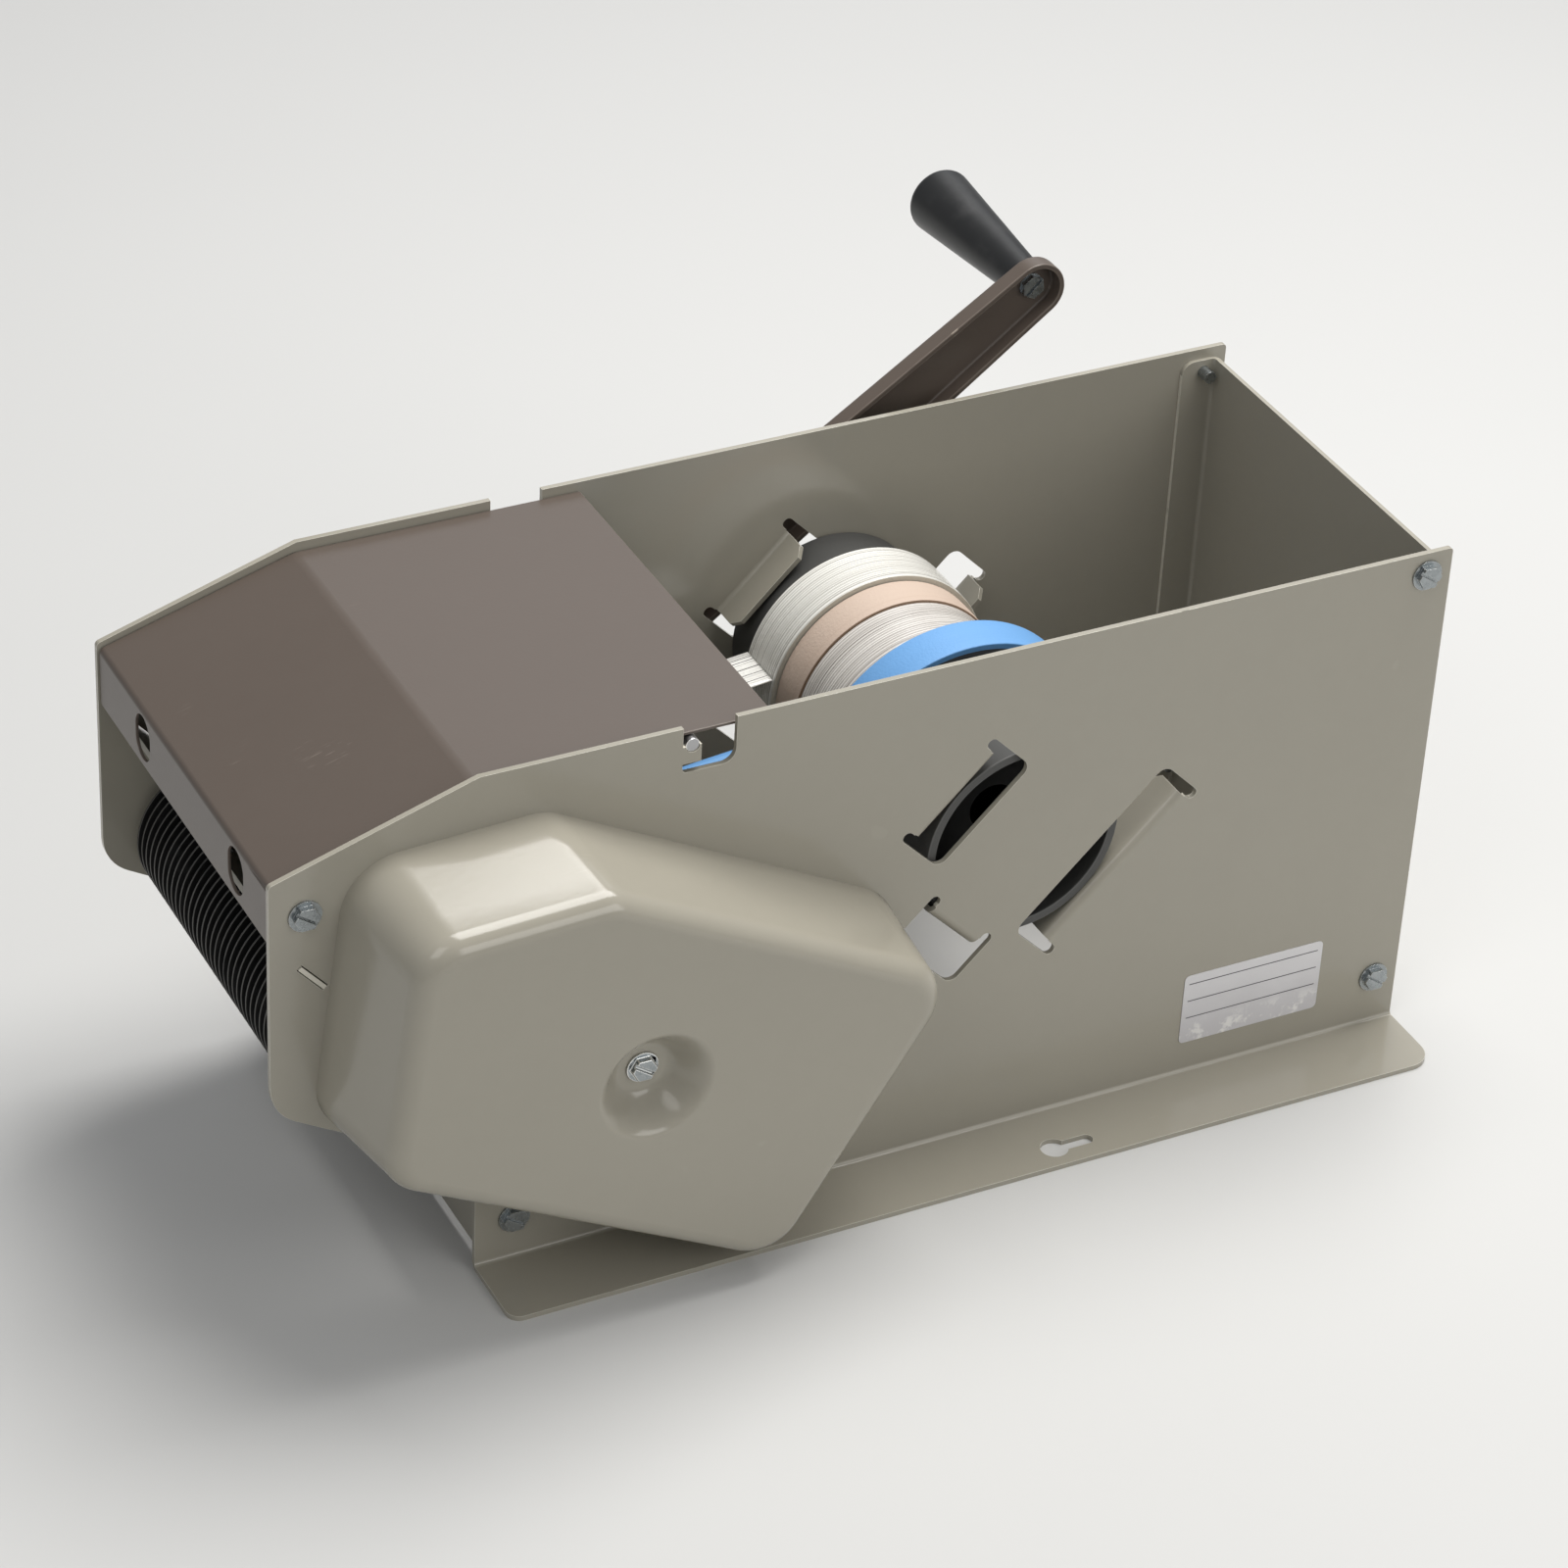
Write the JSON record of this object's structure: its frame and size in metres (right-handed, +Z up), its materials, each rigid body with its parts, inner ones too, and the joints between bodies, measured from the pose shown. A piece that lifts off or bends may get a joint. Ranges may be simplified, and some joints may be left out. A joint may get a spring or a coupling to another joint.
{
  "type": "tape dispenser",
  "caption": "Bench-top tape dispenser with an open bent-sheet body, a cradle for tape rolls, a finned feed drum under a lift-up cover, a side belt cover and a hand lever",
  "frame": {"origin": "midway between the two foot keyholes, on the underside of the feet", "axes": "+X from the feed drum towards the rear panel, +Y towards the lever side, +Z up"},
  "size_m": [0.443, 0.289, 0.249],
  "materials": {
    "beige_paint": "gloss baked enamel, warm grey-beige",
    "cover_beige_paint": "gloss baked enamel on deep-drawn sheet",
    "brown_paint": "satin taupe enamel with fine scratches",
    "zinc_steel": "bright zinc plate",
    "ground_steel": "ground steel",
    "bronze": "sintered bronze",
    "blade_steel": "hardened blade steel",
    "black_oxide": "black oxide",
    "black_plastic": "smooth black plastic",
    "core_black": "black drum core",
    "fin_metal": "black anodised fins with bare edges",
    "pulley_alloy": "turned aluminium",
    "black_rubber": "moulded rubber",
    "hub_plastic": "charcoal moulded plastic",
    "card": "brown paperboard core",
    "blue_tape": "blue film tape",
    "clear_tape": "clear filament tape",
    "tan_tape": "tan paper tape",
    "white_tape": "white filament tape",
    "label_film": "plain silver-white label"
  },
  "bodies": {
    "frame": {"side_panel_near": "beige_paint", "side_panel_far": "beige_paint", "rear_panel": "beige_paint", "base_brace": "beige_paint", "guide_plate": "beige_paint", "cutter_blade": "blade_steel", "blade_screws": "zinc_steel", "frame_screws": "zinc_steel", "rest_rod": "ground_steel", "label_plate": "label_film", "belt_cover": "cover_beige_paint", "cover_stud": "ground_steel", "cover_screw": "zinc_steel", "drum_bushes": "bronze", "lever_bushes": "bronze", "roller_shaft": "ground_steel", "roller_rings": "black_oxide", "drive_belt": "black_rubber", "pivot_screws": "zinc_steel", "pivot_nuts": "zinc_steel", "white_tape_strip": "white_tape", "blue_tape_strip": "blue_tape"},
    "cover": {"top_cover": "brown_paint"},
    "lever": {"lever_arm": "brown_paint", "lever_shaft": "ground_steel", "lever_collar": "ground_steel", "lever_nut": "zinc_steel", "lever_stop_plate": "ground_steel", "one_way_clutch": "ground_steel", "lever_pulley": "pulley_alloy", "lever_ring": "black_oxide", "knob_bolt": "zinc_steel", "knob_nut": "zinc_steel"},
    "knob": {"lever_knob": "black_plastic"},
    "drum": {"drum_shaft": "ground_steel", "drum_core": "core_black", "drum_fins": "fin_metal", "drum_pulley": "pulley_alloy", "drum_rings": "black_oxide"},
    "roller": {"hold_down_roller": "black_rubber"},
    "mandrel": {"mandrel_tube": "hub_plastic", "mandrel_caps": "hub_plastic"},
    "blue_tape_roll": {"blue_roll": "blue_tape", "blue_core": "hub_plastic"},
    "clear_tape_roll": {"clear_roll": "clear_tape", "clear_core": "card"},
    "tan_tape_roll": {"tan_roll": "tan_tape", "tan_core": "card"},
    "white_tape_roll": {"white_roll": "white_tape", "white_core": "card"}
  },
  "joints": [
    {"name": "cover_lift", "type": "hinge", "parent": "frame", "child": "cover", "pos_m": [-0.2765, 0, 0.1665], "axis": [0, -1, 0], "range_deg": [0, 95]},
    {"name": "lever_swing", "type": "hinge", "parent": "frame", "child": "lever", "pos_m": [-0.137, 0, 0.082], "axis": [0, -1, 0], "range_deg": [0, 100]},
    {"name": "knob_spin", "type": "hinge", "parent": "lever", "child": "knob", "pos_m": [0.07712, 0.12875, 0.23643], "axis": [0, 1, 0], "continuous": true},
    {"name": "drum_turn", "type": "hinge", "parent": "frame", "child": "drum", "pos_m": [-0.25, 0, 0.0985], "axis": [0, -1, 0], "range_deg": [0, 200]},
    {"name": "roller_spin", "type": "hinge", "parent": "frame", "child": "roller", "pos_m": [-0.227, 0, 0.1391], "axis": [0, 1, 0], "continuous": true},
    {"name": "mandrel_spin", "type": "hinge", "parent": "frame", "child": "mandrel", "pos_m": [-0.009, 0, 0.122], "axis": [0, 1, 0], "continuous": true},
    {"name": "blue_roll_spin", "type": "hinge", "parent": "mandrel", "child": "blue_tape_roll", "pos_m": [-0.009, 0, 0.122], "axis": [0, 1, 0], "continuous": true},
    {"name": "clear_roll_spin", "type": "hinge", "parent": "mandrel", "child": "clear_tape_roll", "pos_m": [-0.009, 0, 0.122], "axis": [0, 1, 0], "continuous": true},
    {"name": "tan_roll_spin", "type": "hinge", "parent": "mandrel", "child": "tan_tape_roll", "pos_m": [-0.009, 0, 0.122], "axis": [0, 1, 0], "continuous": true},
    {"name": "white_roll_spin", "type": "hinge", "parent": "mandrel", "child": "white_tape_roll", "pos_m": [-0.009, 0, 0.122], "axis": [0, 1, 0], "continuous": true}
  ],
  "couplings": [
    {"joint": "drum_turn", "follows": "lever_swing", "ratio": 2}
  ]
}
